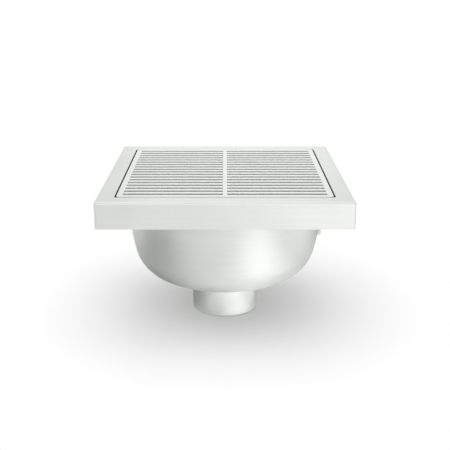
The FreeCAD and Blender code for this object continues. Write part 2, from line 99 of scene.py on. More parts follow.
def length(name, description, millimetres):
    """A length that a user may change, given in millimetres and kept in metres."""
    return FloatProperty(name=name, description=description, default=millimetres / 1000,
                         unit="LENGTH", subtype="DISTANCE", precision=5)


def angle(name, description, degrees):
    """An angle that a user may change, given in degrees and kept in radians."""
    return FloatProperty(name=name, description=description, default=math.radians(degrees),
                         unit="ROTATION", subtype="ANGLE")


def count(name, description, value, least):
    """A number of like things that a user may change."""
    return IntProperty(name=name, description=description, default=value, min=least)


def colour(name, description, value):
    """A colour that a user may change."""
    return FloatVectorProperty(name=name, description=description, default=value, subtype="COLOR",
                               min=0.0, max=1.0)


def share(name, description, value):
    """A value from 0 to 1 that a user may change."""
    return FloatProperty(name=name, description=description, default=value, min=0.0, max=1.0,
                         subtype="FACTOR")


class FloorSinkSizes(bpy.types.PropertyGroup):
    """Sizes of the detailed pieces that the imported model's boxes don't give."""
    edge_break: length("Edge break", "Round on cut and turned edges", 0.4)
    slot_edge: length("Slot edge", "Round on the edges of the grate's slots", 0.45)
    grate_corner: length("Grate corner", "Corner radius of the grate plate", 6.0)
    slot_width: length("Slot width", "Grate slot, front to rear", 6.75)
    slot_count: count("Slots", "Slots in each of the two columns", 18, 2)
    centre_rib: length("Centre rib", "Rib between the two columns of slots", 5.3)
    side_rail: length("Side rail", "Plate between the slots and the grate's side edge", 6.9)
    end_rail: length("End rail", "Plate between the slots and the grate's front and rear edges", 9.05)
    edge_bar: length("Edge bar", "Thickness of the bars under the grate's edges", 3.0)
    tack_length: length("Tack weld", "Length of a tack weld under the grate", 5.0)
    tack_every: count("Tacks", "Ribs from one tack weld to the next", 3, 1)
    pipe_wall: length("Pipe wall", "Wall of the outlet pipe", 2.1)
    pipe_edge: length("Pipe edge", "Round on the pipe's lower edges", 0.8)
    pipe_neck: length("Pipe shoulder", "Step of the outlet pipe under the bowl's floor", 1.0)
    bowl_slope: angle("Bowl floor", "Fall of the bowl's floor", 12.8)
    sheet: length("Sheet", "Wall of the rim, seat and bowl", 1.5)
    bead: length("Weld bead", "Radius of the weld beads", 0.9)
    outlet_bead: length("Outlet bead", "Radius of the weld bead round the outlet pipe", 2.4)
    ripple: length("Ripple", "Weld ripple, crest to crest", 1.7)
    wall_curve: length("Bowl wall", "Radius of the bowl wall's gentle curve", 352.0)
    lug_bearing: angle("Lug", "Lug's direction from +X", 15.0)
    lug_sheet: length("Lug plate", "Thickness of the bonding lug", 3.0)
    pad_size: length("Pad", "Rubber pad, each way", 14.0)
    pad_lip: length("Pad lip", "Raised lip round a rubber pad", 1.5)
    pad_recess: length("Pad recess", "Depth of a rubber pad's middle", 0.5)
    ring_width: length("Strainer ring", "Strainer ring, inside to outside", 5.2)
    dome_sheet: length("Dome wall", "Wall of the strainer dome", 1.5)
    dome_flat: length("Dome flat", "Radius of the flat on top of the strainer dome", 12.0)
    dome_slot_foot: length("Dome slot foot", "Lower end of a strainer slot above the dome's foot", 4.0)
    dome_slot_head: length("Dome slot head", "Upper end of a strainer slot below the dome's top", 5.0)
    dome_slot_width: length("Dome slot", "Width of a strainer slot", 4.0)
    dome_edge: length("Dome edge", "Round on the edges of the dome's slots", 0.25)
    dome_slots: count("Dome slots", "Slots round the strainer dome", 16, 3)
    leg_count: count("Strainer legs", "Legs under the strainer ring", 3, 2)
    leg_width: length("Leg width", "Width of a strainer leg", 12.0)
    leg_sheet: length("Leg thickness", "Thickness of a strainer leg", 1.5)
    loop_wire: length("Loop wire", "Diameter of the lifting loop's wire", 4.0)


class FloorSinkFinishes(bpy.types.PropertyGroup):
    """Colours and gloss of the sink's finishes."""
    steel_light: colour("Steel, light", "Bright lines of the brushed steel", (0.745, 0.761, 0.740))
    steel_dark: colour("Steel, dark", "Dull lines of the brushed steel", (0.555, 0.568, 0.550))
    # The grate's tones are the sheet steel's lifted. This is painted light that brightens the grate.
    grate_light: colour("Grate, light", "Bright lines of the grate's brushed steel", (0.805, 0.822, 0.800))
    grate_dark: colour("Grate, dark", "Dull lines of the grate's brushed steel", (0.600, 0.614, 0.594))
    # The pipe's tones are lighter than the sheet steel's. This is painted light that brightens the pipe,
    # besides the narrower spread of its drawn grain.
    pipe_light: colour("Pipe, light", "Bright lines of the drawn pipe", (0.78, 0.796, 0.775))
    pipe_dark: colour("Pipe, dark", "Dull lines of the drawn pipe", (0.68, 0.693, 0.675))
    mill_light: colour("Mill, light", "Bright lines of the lug's mill finish", (0.64, 0.654, 0.634))
    mill_dark: colour("Mill, dark", "Dull lines of the lug's mill finish", (0.50, 0.511, 0.495))
    # The welds' dark tones are partly the beads' own dull metal and partly painted shade, so that the bead
    # under the bowl shows as a dark seam line.
    weld_light: colour("Weld, light", "Crests of the weld ripples", (0.46, 0.45, 0.43))
    weld_dark: colour("Weld, dark", "Valleys of the weld ripples", (0.24, 0.23, 0.22))
    rubber_light: colour("Rubber, light", "Worn grains of the rubber pads", (0.060, 0.060, 0.058))
    rubber_dark: colour("Rubber, dark", "Body of the rubber pads", (0.022, 0.022, 0.022))
    satin: share("Satin", "Roughness of the brushed plates", 0.38)
    spun: share("Spun", "Roughness of the spun bowl", 0.38)
    drawn: share("Drawn", "Roughness of the drawn pipe", 0.30)
    spun_edge: share("Spun edge", "Tint of the spun steel where it turns away", 0.80)
    pressed: share("Pressed", "Roughness of the strainer's pressed sheet", 0.24)
    cut: share("Cut", "Roughness of cut edges", 0.72)
    mill: share("Mill", "Roughness of the lug's mill finish", 0.48)


class FloorSinkStudio(bpy.types.PropertyGroup):
    """Camera, lamps and floor."""
    camera_place: FloatVectorProperty(name="Camera", description="Place of the camera", subtype="TRANSLATION",
                                      unit="LENGTH", default=(0.0, -1.0551, 0.4549))
    camera_pitch: angle("Pitch", "Camera's tilt below the horizon", 17.80)
    camera_lens: FloatProperty(name="Lens", description="Focal length", default=65.1, unit="CAMERA")
    world_fill: FloatProperty(name="Fill", description="Light from all round on matt surfaces", default=0.84)
    flag_tone: colour("Flags", "Colour of the grey cards at the left and the rear", (0.60, 0.60, 0.60))
    floor_colour: colour("Floor", "Colour of the floor", (0.935, 0.935, 0.935))
    floor_fade: length("Floor fade", "Where the floor starts to fade into the background", 80.0)
    floor_radius: length("Floor radius", "Where the floor has faded into the background", 450.0)
    floor_stretch: FloatProperty(name="Floor stretch", default=1.6,
                                 description="How much further the floor reaches to the sides")


def sizes():
    """The sizes in use."""
    return bpy.context.scene.floor_sink_sizes


def finishes():
    """The finishes in use."""
    return bpy.context.scene.floor_sink_finishes


def studio():
    """The studio's settings in use."""
    return bpy.context.scene.floor_sink_studio


# Modelling

def rounded_square(bm, width, corner, height):
    """A flat square face with rounded corners, centred on the axis."""
    made = bmesh.ops.create_grid(bm, x_segments=1, y_segments=1, size=width / 2,
                                 matrix=Matrix.Translation((0, 0, height)))
    bmesh.ops.bevel(bm, geom=made["verts"], offset=corner, offset_type="OFFSET", segments=CORNER_STEPS,
                    profile=0.5, affect="VERTICES", material=-1)


def block(bm, low, high):
    """A box between two corners."""
    low, high = Vector(low), Vector(high)
    place = Matrix.Translation((low + high) / 2) @ Matrix.Diagonal((*(high - low), 1))
    return bmesh.ops.create_cube(bm, size=1, matrix=place)["verts"]


def turned(bm, outline):
    """A closed outline of radius and height pairs, spun once round the axis."""
    verts = [bm.verts.new((radius, 0, height)) for radius, height in outline]
    edges = [bm.edges.new(pair) for pair in zip(verts, verts[1:] + verts[:1])]
    bmesh.ops.spin(bm, geom=verts + edges, cent=(0, 0, 0), axis=AXIS, angle=FULL_TURN, steps=ROUND_STEPS,
                   use_merge=True)
    bmesh.ops.recalc_face_normals(bm, faces=bm.faces[:])


def break_edges(bm, radius, chosen=lambda edge: True):
    """Rounds the sharp edges that a test chooses."""
    edges = [edge for edge in bm.edges
             if len(edge.link_faces) == 2 and edge.calc_face_angle() > SHARP_ANGLE and chosen(edge)]
    bmesh.ops.bevel(bm, geom=edges, offset=radius, offset_type="OFFSET", segments=EDGE_STEPS, profile=0.5,
                    affect="EDGES", material=-1, clamp_overlap=True)


def cut(bm, place, normal):
    """Cuts every face along a plane."""
    bmesh.ops.bisect_plane(bm, geom=bm.verts[:] + bm.edges[:] + bm.faces[:], dist=MERGE_DISTANCE,
                           plane_co=place, plane_no=normal)


def drawn(bm, faces, travel):
    """Draws faces out by a vector and returns the new ones."""
    made = bmesh.ops.extrude_face_region(bm, geom=faces)["geom"]
    bmesh.ops.translate(bm, verts=[item for item in made if isinstance(item, bmesh.types.BMVert)], vec=travel)
    return [item for item in made if isinstance(item, bmesh.types.BMFace)]


def ring_bead(bm, reach, height, radius):
    """A rippled weld bead round the axis: one sector of it, doubled until it closes."""
    sector = FULL_TURN / 2 ** DOUBLINGS
    ripples = round(sector * reach / sizes().ripple)
    place = Matrix.Translation((reach, 0, height)) @ Matrix.Rotation(math.pi / 2, 4, "X")
    section = bmesh.ops.create_circle(bm, segments=BEAD_SIDES, radius=radius, matrix=place)["verts"]
    bmesh.ops.spin(bm, geom=section + bm.edges[:], cent=(0, 0, 0), axis=AXIS, angle=sector,
                   steps=ripples * RIPPLE_STEPS)
    for number in range(DOUBLINGS):
        bmesh.ops.spin(bm, geom=bm.verts[:] + bm.edges[:] + bm.faces[:], cent=(0, 0, 0), axis=AXIS,
                       angle=sector * 2 ** number, steps=1, use_duplicate=True)
    bmesh.ops.remove_doubles(bm, verts=bm.verts[:], dist=MERGE_DISTANCE)
    for vert in bm.verts:
        bearing = math.atan2(vert.co.y, vert.co.x)
        centre = Vector((reach * math.cos(bearing), reach * math.sin(bearing), height))
        wave = 1 + RIPPLE_DEPTH * math.cos(FULL_TURN * ripples * bearing / sector)
        vert.co = centre.lerp(vert.co, wave)
    bmesh.ops.recalc_face_normals(bm, faces=bm.faces[:])


def line_bead(bm, start, end):
    """A rippled weld bead between two points, rounded off at its ends."""
    start, end = Vector(start), Vector(end)
    others = set(bm.verts)
    place = Matrix.Translation(start) @ (end - start).to_track_quat("Z", "X").to_matrix().to_4x4()
    section = bmesh.ops.create_circle(bm, segments=BEAD_SIDES, radius=sizes().bead, matrix=place)["verts"]
    edges = {edge for vert in section for edge in vert.link_edges}
    ripples = round((end - start).length / sizes().ripple)
    steps = ripples * RIPPLE_STEPS
    bmesh.ops.spin(bm, geom=section + list(edges), cent=start, axis=AXIS, dvec=(end - start) / steps, angle=0,
                   steps=steps)
    made = [vert for vert in bm.verts if vert not in others]
    for vert in made:
        share_done = (vert.co - start).dot(end - start) / (end - start).length_squared
        ends = math.sqrt(max(0.0, 1 - abs(2 * share_done - 1) ** END_BLUNTNESS))
        wave = 1 + RIPPLE_DEPTH * math.cos(FULL_TURN * ripples * share_done)
        vert.co = start.lerp(end, share_done).lerp(vert.co, ends * wave)
    bmesh.ops.remove_doubles(bm, verts=made, dist=MERGE_DISTANCE)
    bmesh.ops.recalc_face_normals(bm, faces=bm.faces[:])


def thicken(bm, thickness):
    """Gives a sheet its thickness, towards its inner side."""
    bmesh.ops.recalc_face_normals(bm, faces=bm.faces[:])
    bmesh.ops.solidify(bm, geom=bm.faces[:], thickness=thickness)


def new_piece(name, bm, body, materials, stands_for=()):
    """Finishes a mesh as a piece that rides on a body."""
    mesh = bpy.data.meshes.new(name)
    bm.to_mesh(mesh)
    bm.free()
    for material in materials:
        mesh.materials.append(material)
    mesh.shade_smooth()
    mesh.set_sharp_from_angle(angle=SHARP_ANGLE)
    piece = bpy.data.objects.new(name, mesh)
    bpy.context.scene.collection.objects.link(piece)
    flat_faces = piece.modifiers.new("Flat faces", "WEIGHTED_NORMAL")
    flat_faces.keep_sharp = True
    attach(piece, body)
    if stands_for:
        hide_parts(*stands_for)


def refinish(node, material):
    """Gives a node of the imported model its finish."""
    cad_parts[node].material_slots[0].material = material


# Finishes

# Noise in spots per metre along three directions, its levels of detail, how rough it is and its usual range
BRUSH_LINES = (14, 1700, 1700)
BRUSH_STREAKS = (3.5, 230, 230)
STEEL_CLOUDS = (14, 14, 14)
CUT_GRAINS = (900, 900, 160)
WELD_GRAINS = (420, 420, 420)
RUBBER_GRAINS = (1800, 1800, 1800)
RUBBER_CLOUDS = (120, 120, 120)
NOISE_DETAIL = 3.0
STREAK_DETAIL = 4.0
RUBBER_DETAIL = 2.0
NOISE_ROUGHNESS = 0.55
NOISE_RANGE = (0.3, 0.7)

# Shares of a mix: both parts alike, and how much lines and clouds count against streaks in the steel's tone
EVEN = 0.5
FINE_SHARE = 0.62

# Roughness: how far it strays in brushed steel, as a share, and in cut steel, and its limits elsewhere
BRUSHED_SPREAD = 0.15
CUT_SPREAD = 0.1
WELD_ROUGHNESS = (0.34, 0.58)
RUBBER_ROUGHNESS = (0.55, 0.80)

# Bumps: strength, and depth in metres
BRUSH_BUMP = (0.1, 0.0002)
WELD_BUMP = (0.4, 0.0003)
RUBBER_BUMP = (0.35, 0.0002)


def add_node(tree, kind, inputs=(), **settings):
    """Adds a node. Its inputs are values to set or sockets to link."""
    made = tree.nodes.new(kind)
    for name, value in settings.items():
        setattr(made, name, value)
    for name, value in dict(inputs).items():
        if isinstance(value, bpy.types.NodeSocket):
            tree.links.new(value, made.inputs[name])
        else:
            made.inputs[name].default_value = value
    return made


def math_node(tree, operation, first, second=0.0):
    """The result of one sum on two values."""
    return add_node(tree, "ShaderNodeMath", {0: first, 1: second}, operation=operation).outputs[0]


def mix_values(tree, factor, first, second):
    """A value between two others."""
    made = add_node(tree, "ShaderNodeMix", {"Factor": factor, "A": first, "B": second}, data_type="FLOAT")
    return made.outputs["Result"]


def mix_colours(tree, factor, first, second):
    """A colour between two others. The node's sockets share their names, so they are told by identifier."""
    made = add_node(tree, "ShaderNodeMix", {"Factor": factor}, data_type="RGBA")
    sockets = {socket.identifier: socket for socket in (*made.inputs, *made.outputs)}
    sockets["A_Color"].default_value = (*first, 1)
    sockets["B_Color"].default_value = (*second, 1)
    return sockets["Result_Color"]


def noise(tree, vector, stretch, detail=NOISE_DETAIL):
    """Noise along a vector that is first stretched by three scales, in spots per metre."""
    mapped = add_node(tree, "ShaderNodeMapping", {"Vector": vector, "Scale": stretch}).outputs[0]
    return add_node(tree, "ShaderNodeTexNoise", {"Vector": mapped, "Scale": 1.0, "Detail": detail,
                                                 "Roughness": NOISE_ROUGHNESS}).outputs["Fac"]


def new_group(name, inputs, outputs):
    """An empty node group with vector inputs and value outputs. Returns it with its two end nodes."""
    group = bpy.data.node_groups.new(name, "ShaderNodeTree")
    for entry in inputs:
        group.interface.new_socket(entry, in_out="INPUT", socket_type="NodeSocketVector")
    for entry in outputs:
        group.interface.new_socket(entry, in_out="OUTPUT", socket_type="NodeSocketFloat")
    return group, group.nodes.new("NodeGroupInput"), group.nodes.new("NodeGroupOutput")


def brushed_grain():
    """Node group: fine brush lines, broad streaks and soft clouds of a satin steel surface."""
    name = "Brushed grain"
    if name in bpy.data.node_groups:
        return bpy.data.node_groups[name]
    group, entry, result = new_group(name, ("Grain", "Place"), ("Lines", "Streaks", "Clouds"))
    values = {
        "Lines": noise(group, entry.outputs["Grain"], BRUSH_LINES),
        "Streaks": noise(group, entry.outputs["Grain"], BRUSH_STREAKS, STREAK_DETAIL),
        "Clouds": noise(group, entry.outputs["Place"], STEEL_CLOUDS),
    }
    for socket, value in values.items():
        group.links.new(value, result.inputs[socket])
    return group


def object_place(tree):
    """Object coordinates."""
    return add_node(tree, "ShaderNodeTexCoord").outputs["Object"]


def parts_of(tree, vector):
    """The three parts of a vector."""
    return add_node(tree, "ShaderNodeSeparateXYZ", {0: vector}).outputs


def vector_of(tree, x, y, z):
    """A vector from its three parts."""
    return add_node(tree, "ShaderNodeCombineXYZ", {"X": x, "Y": y, "Z": z}).outputs[0]


def along_slots(tree, place):
    """Brush direction from left to right, which is the place as it stands."""
    return place


def along_sides(tree, place):
    """Brush direction along each side of a square, with a mitre at its corners."""
    x, y, z = parts_of(tree, place)
    on_side = math_node(tree, "GREATER_THAN", math_node(tree, "ABSOLUTE", x), math_node(tree, "ABSOLUTE", y))
    return vector_of(tree, mix_values(tree, on_side, x, y), mix_values(tree, on_side, y, x), z)


def round_axis(tree, place):
    """Brush direction round the axis."""
    x, y, z = parts_of(tree, place)
    squares = math_node(tree, "ADD", math_node(tree, "POWER", x, 2.0), math_node(tree, "POWER", y, 2.0))
    return vector_of(tree, math_node(tree, "ADD", x, y), math_node(tree, "SQRT", squares), z)


def upright(tree, place):
    """Brush direction upright."""
    x, y, z = parts_of(tree, place)
    return vector_of(tree, z, x, y)


def new_material(name, metallic=0.0):
    """An empty node material with its principled shader."""
    material = bpy.data.materials.new(name)
    material.use_nodes = True
    tree = material.node_tree
    shader = tree.nodes["Principled BSDF"]
    shader.inputs["Metallic"].default_value = metallic
    return material, tree, shader


def tint(tree, shader, tone, dark, light):
    """Gives a shader a colour between two others."""
    tree.links.new(mix_colours(tree, tone, dark, light), shader.inputs["Base Color"])


def dull(tree, shader, value, limits, value_range=(0.0, 1.0)):
    """Gives a shader a roughness that moves between two limits as a value moves through its range."""
    made = add_node(tree, "ShaderNodeMapRange", {
        "Value": value, "From Min": value_range[0], "From Max": value_range[1],
        "To Min": limits[0], "To Max": limits[1]})
    tree.links.new(made.outputs[0], shader.inputs["Roughness"])


def emboss(tree, shader, height, bump):
    """Gives a shader a bump of a strength and a depth."""
    strength, depth = bump
    made = add_node(tree, "ShaderNodeBump", {"Strength": strength, "Distance": depth, "Height": height})
    tree.links.new(made.outputs[0], shader.inputs["Normal"])


def brushed_steel(name, direction, roughness, tones=None, edge_tint=1.0):
    """Satin stainless steel, brushed in a direction. The edge tint darkens it where it turns away."""
    if name in bpy.data.materials:
        return bpy.data.materials[name]
    material, tree, shader = new_material(name, metallic=1.0)
    place = object_place(tree)
    grain = add_node(tree, "ShaderNodeGroup", {"Grain": direction(tree, place), "Place": place},
                     node_tree=brushed_grain())
    lines, streaks, clouds = (grain.outputs[socket] for socket in ("Lines", "Streaks", "Clouds"))
    tone = mix_values(tree, FINE_SHARE, streaks, mix_values(tree, EVEN, lines, clouds))
    dark, light = tones or (finishes().steel_dark, finishes().steel_light)
    tint(tree, shader, tone, dark, light)
    limits = (roughness * (1 - BRUSHED_SPREAD), roughness * (1 + BRUSHED_SPREAD))
    dull(tree, shader, mix_values(tree, EVEN, streaks, lines), limits, NOISE_RANGE)
    emboss(tree, shader, lines, BRUSH_BUMP)
    shader.inputs["Specular Tint"].default_value = (edge_tint, edge_tint, edge_tint, 1)
    return material


def weld_metal():
    """Dull ripples of a weld bead; its dark tone is partly the weld's own and partly painted shade."""
    name = "Weld bead"
    if name in bpy.data.materials:
        return bpy.data.materials[name]
    material, tree, shader = new_material(name, metallic=1.0)
    finish = finishes()
    grains = noise(tree, object_place(tree), WELD_GRAINS)
    tint(tree, shader, grains, finish.weld_dark, finish.weld_light)
    dull(tree, shader, grains, WELD_ROUGHNESS)
    emboss(tree, shader, grains, WELD_BUMP)
    return material


def moulded_rubber():
    """Matt black rubber with a fine moulded grain."""
    name = "Moulded rubber"
    if name in bpy.data.materials:
        return bpy.data.materials[name]
    material, tree, shader = new_material(name)
    finish = finishes()
    place = object_place(tree)
    grains = noise(tree, place, RUBBER_GRAINS, RUBBER_DETAIL)
    clouds = noise(tree, place, RUBBER_CLOUDS)
    tint(tree, shader, mix_values(tree, EVEN, grains, clouds), finish.rubber_dark, finish.rubber_light)
    dull(tree, shader, clouds, RUBBER_ROUGHNESS)
    emboss(tree, shader, grains, RUBBER_BUMP)
    return material


def cut_steel():
    """Dull steel of a cut edge."""
    name = "Cut steel"
    if name in bpy.data.materials:
        return bpy.data.materials[name]
    material, tree, shader = new_material(name, metallic=1.0)
    finish = finishes()
    grains = noise(tree, object_place(tree), CUT_GRAINS)
    tint(tree, shader, grains, finish.steel_dark, finish.steel_light)
    dull(tree, shader, grains, (finish.cut - CUT_SPREAD, finish.cut + CUT_SPREAD))
    return material


# Pieces

def slot_middles():
    """Where the middles of the grate's slots lie, from front to rear."""
    size = sizes()
    low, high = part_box("grate_plate")
    travel = high.y - low.y - 2 * size.end_rail - size.slot_width
    return [travel * (number / (size.slot_count - 1) - 0.5) for number in range(size.slot_count)]


class FLOORSINK_OT_rim(bpy.types.Operator):
    """Finishes the rim, the recess wall and the seat"""
    bl_idname = "floorsink.rim"
    bl_label = "Rim and seat"

    def execute(self, context):
        steel = brushed_steel("Rim steel", along_sides, finishes().satin)
        for node in ("rim_frame", "recess_frame", "seat_plate"):
            refinish(node, steel)
        return {"FINISHED"}


class FLOORSINK_OT_bowl(bpy.types.Operator):
    """Finishes the bowl"""
    bl_idname = "floorsink.bowl"
    bl_label = "Bowl"

    def execute(self, context):
        finish = finishes()
        refinish("bowl", brushed_steel("Bowl steel", round_axis, finish.spun, edge_tint=finish.spun_edge))
        return {"FINISHED"}


class FLOORSINK_OT_outlet(bpy.types.Operator):
    """Turns the outlet pipe with its broken edges and its shoulder"""
    bl_idname = "floorsink.outlet"
    bl_label = "Outlet pipe"

    def execute(self, context):
        size = sizes()
        low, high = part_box("outlet_spigot")
        bore, neck = high.x - size.pipe_wall, high.x - size.pipe_neck
        shoulder = high.z - size.sheet / math.cos(size.bowl_slope)
        bm = bmesh.new()
        turned(bm, [(bore, low.z), (high.x, low.z), (high.x, shoulder), (neck, shoulder),
                    (neck, high.z), (bore, high.z)])
        break_edges(bm, size.pipe_edge, lambda edge: max(vert.co.z for vert in edge.verts) < size.pipe_edge)
        break_edges(bm, size.edge_break, lambda edge: min(vert.co.z for vert in edge.verts) > size.pipe_edge)
        finish = finishes()
        # Pipe steel with painted light: its tones are lighter than the sheet steel's.
        steel = brushed_steel("Pipe steel", round_axis, finish.drawn, (finish.pipe_dark, finish.pipe_light),
                              finish.spun_edge)
        new_piece("outlet_pipe", bm, SINK, [steel], ["outlet_spigot"])
        return {"FINISHED"}


class FLOORSINK_OT_lug(bpy.types.Operator):
    """Breaks the edges of the bonding lug and of its hole"""
    bl_idname = "floorsink.lug"
    bl_label = "Bonding lug"

    def execute(self, context):
        bm = bmesh.new()
        bm.from_mesh(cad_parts["bonding_lug"].data)
        bmesh.ops.remove_doubles(bm, verts=bm.verts[:], dist=MERGE_DISTANCE)
        bmesh.ops.dissolve_limit(bm, angle_limit=FLAT_ANGLE, verts=bm.verts[:], edges=bm.edges[:])
        break_edges(bm, sizes().edge_break)
        finish = finishes()
        steel = brushed_steel("Lug steel", upright, finish.mill, (finish.mill_dark, finish.mill_light))
        new_piece("drilled_lug", bm, SINK, [steel], ["bonding_lug"])
        return {"FINISHED"}


class FLOORSINK_OT_pads(bpy.types.Operator):
    """Moulds the rubber pads under the grate's corners"""
    bl_idname = "floorsink.pads"
    bl_label = "Rubber pads"

    def execute(self, context):
        size = sizes()
        low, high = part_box("seat_pads")
        bm = bmesh.new()
        for x in (low.x, high.x - size.pad_size):
            for y in (low.y, high.y - size.pad_size):
                block(bm, (x, y, low.z), (x + size.pad_size, y + size.pad_size, high.z))
        tops = [face for face in bm.faces if face.calc_center_median().z > high.z - MERGE_DISTANCE]
        bmesh.ops.inset_individual(bm, faces=tops, thickness=size.pad_lip, depth=-size.pad_recess)
        break_edges(bm, size.edge_break)
        new_piece("moulded_pads", bm, SINK, [moulded_rubber()], ["seat_pads"])
        return {"FINISHED"}


class FLOORSINK_OT_grate(bpy.types.Operator):
    """Cuts the slotted plate and sets the bars under it"""
    bl_idname = "floorsink.grate"
    bl_label = "Grate"

    def execute(self, context):
        finish = finishes()
        # The grate's lighter tones are painted light.
        tones = (finish.grate_dark, finish.grate_light)
        steel = brushed_steel("Grate steel", along_slots, finish.satin, tones)
        self.plate(steel)
        self.bars(steel)
        return {"FINISHED"}

    def plate(self, steel):
        """A plate with two columns of slots, rounded along every edge."""
        size = sizes()
        low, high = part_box("grate_plate")
        bm = bmesh.new()
        rounded_square(bm, high.x - low.x, size.grate_corner, high.z)
        columns = [side * x for side in (-1, 1) for x in (size.centre_rib / 2, high.x - size.side_rail)]
        middles = slot_middles()
        rows = [middle + side * size.slot_width / 2 for middle in middles for side in (-1, 1)]
        cuts = [((x, 0, 0), (1, 0, 0)) for x in columns] + [((0, y, 0), (0, 1, 0)) for y in rows]
        for place, normal in cuts:
            cut(bm, place, normal)

        def in_slot(face):
            middle = face.calc_center_median()
            in_column = size.centre_rib / 2 < abs(middle.x) < high.x - size.side_rail
            return in_column and any(abs(middle.y - row) < size.slot_width / 2 for row in middles)

        bmesh.ops.delete(bm, geom=[face for face in bm.faces if in_slot(face)], context="FACES")
        drawn(bm, bm.faces[:], (0, 0, low.z - high.z))
        bmesh.ops.recalc_face_normals(bm, faces=bm.faces[:])
        for face in bm.faces:
            face.material_index = int(abs(face.normal.z) < CUT_EDGE_RISE)
        break_edges(bm, size.slot_edge)
        new_piece("slotted_plate", bm, GRATE, [steel, cut_steel()], ["grate_plate"])

    def bars(self, steel):
        """Flat bars on edge, one piece for each node."""
        size = sizes()
        for node, across in (("grate_side_bars", 0), ("grate_end_bars", 1), ("grate_centre_bar", None)):
            low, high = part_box(node)
            bm = bmesh.new()
            if across is None:
                block(bm, low, high)
            else:
                near, far = low.copy(), high.copy()
                near[across] = high[across] - size.edge_bar
                block(bm, near, high)
                far[across] = low[across] + size.edge_bar
                block(bm, low, far)
            break_edges(bm, size.edge_break)
            new_piece(node.replace("grate_", "bevelled_"), bm, GRATE, [steel], [node])


class FLOORSINK_OT_strainer(bpy.types.Operator):
    """Builds the strainer from its ring, legs, slotted dome and lifting loop"""
    bl_idname = "floorsink.strainer"
    bl_label = "Strainer"

    def execute(self, context):
        steel = brushed_steel("Strainer steel", round_axis, finishes().pressed)
        self.ring(steel)
        self.legs(steel)
        self.dome(steel)
        self.loop(brushed_steel("Loop steel", upright, finishes().pressed))
        return {"FINISHED"}

    def ring(self, steel):
        """A flat ring with broken edges."""
        size = sizes()
        low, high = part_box("strainer_ring")
        inner = high.x - size.ring_width
        bm = bmesh.new()
        turned(bm, [(inner, low.z), (high.x, low.z), (high.x, high.z), (inner, high.z)])
        break_edges(bm, size.edge_break)
        new_piece("turned_ring", bm, STRAINER, [steel], ["strainer_ring"])

    def legs(self, steel):
        """Strips with broken edges, evenly spaced round the axis."""
        size = sizes()
        low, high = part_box("strainer_legs")
        half = size.leg_width / 2
        bm = bmesh.new()
        for number in range(size.leg_count):
            strip = block(bm, (high.x - size.leg_sheet, -half, low.z), (high.x, half, high.z))
            bmesh.ops.rotate(bm, verts=strip, cent=(0, 0, 0),
                             matrix=Matrix.Rotation(FULL_TURN * number / size.leg_count, 3, "Z"))
        break_edges(bm, size.edge_break)
        new_piece("bevelled_legs", bm, STRAINER, [steel], ["strainer_legs"])

    def dome(self, steel):
        """One sector of the dome with its slot, repeated round the axis and then given its thickness."""
        size = sizes()
        low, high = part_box("strainer_dome")
        foot, flat, height = high.x, size.dome_flat, high.z - low.z
        drop = (foot ** 2 - flat ** 2 - height ** 2) / (2 * height)
        radius = math.hypot(foot, drop)
        start, stop = math.atan2(drop, foot), math.atan2(height + drop, flat)
        angles = [start + (stop - start) * step / DOME_STEPS for step in range(DOME_STEPS + 1)]
        outline = [(radius * math.cos(angle), low.z - drop + radius * math.sin(angle)) for angle in angles]
        bm = bmesh.new()
        verts = [bm.verts.new((reach, 0, level)) for reach, level in outline + [(0, high.z)]]
        edges = [bm.edges.new(pair) for pair in zip(verts, verts[1:])]
        pitch = FULL_TURN / size.dome_slots
        bmesh.ops.rotate(bm, verts=verts, cent=(0, 0, 0), matrix=Matrix.Rotation(-pitch / 2, 3, "Z"))
        bmesh.ops.spin(bm, geom=verts + edges, cent=(0, 0, 0), axis=AXIS, angle=pitch, steps=SECTOR_STEPS)
        half = size.dome_slot_width / 2
        slot_foot, slot_head = low.z + size.dome_slot_foot, high.z - size.dome_slot_head
        for side in (-half, half):
            cut(bm, (0, side, 0), (0, 1, 0))
        for level in (slot_foot, slot_head):
            cut(bm, (0, 0, level), AXIS)

        def in_slot(face):
            middle = face.calc_center_median()
            return abs(middle.y) < half and slot_foot < middle.z < slot_head

        bmesh.ops.delete(bm, geom=[face for face in bm.faces if in_slot(face)], context="FACES")
        bmesh.ops.spin(bm, geom=bm.verts[:] + bm.edges[:] + bm.faces[:], cent=(0, 0, 0), axis=AXIS,
                       angle=FULL_TURN - pitch, steps=size.dome_slots - 1, use_duplicate=True)
        bmesh.ops.remove_doubles(bm, verts=bm.verts[:], dist=MERGE_DISTANCE)
        thicken(bm, size.dome_sheet)
        break_edges(bm, size.dome_edge)
        new_piece("pressed_dome", bm, STRAINER, [steel], ["strainer_dome"])

    def loop(self, steel):
        """A bent wire with both ends closed."""
        low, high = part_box("strainer_loop")
        wire = sizes().loop_wire / 2
        reach = high.x - wire
        bend = high.z - wire - reach
        bm = bmesh.new()
        bmesh.ops.create_circle(bm, cap_ends=True, segments=WIRE_STEPS, radius=wire,
                                matrix=Matrix.Translation((reach, 0, low.z)))
        rising = drawn(bm, bm.faces[:], (0, 0, bend - low.z))
        bent = bmesh.ops.spin(bm, geom=rising, cent=(0, 0, bend), axis=(0, -1, 0), angle=math.pi,
                              steps=BEND_STEPS)["geom_last"]
        drawn(bm, [item for item in bent if isinstance(item, bmesh.types.BMFace)], (0, 0, low.z - bend))
        bmesh.ops.recalc_face_normals(bm, faces=bm.faces[:])
        new_piece("bent_loop", bm, STRAINER, [steel], ["strainer_loop"])


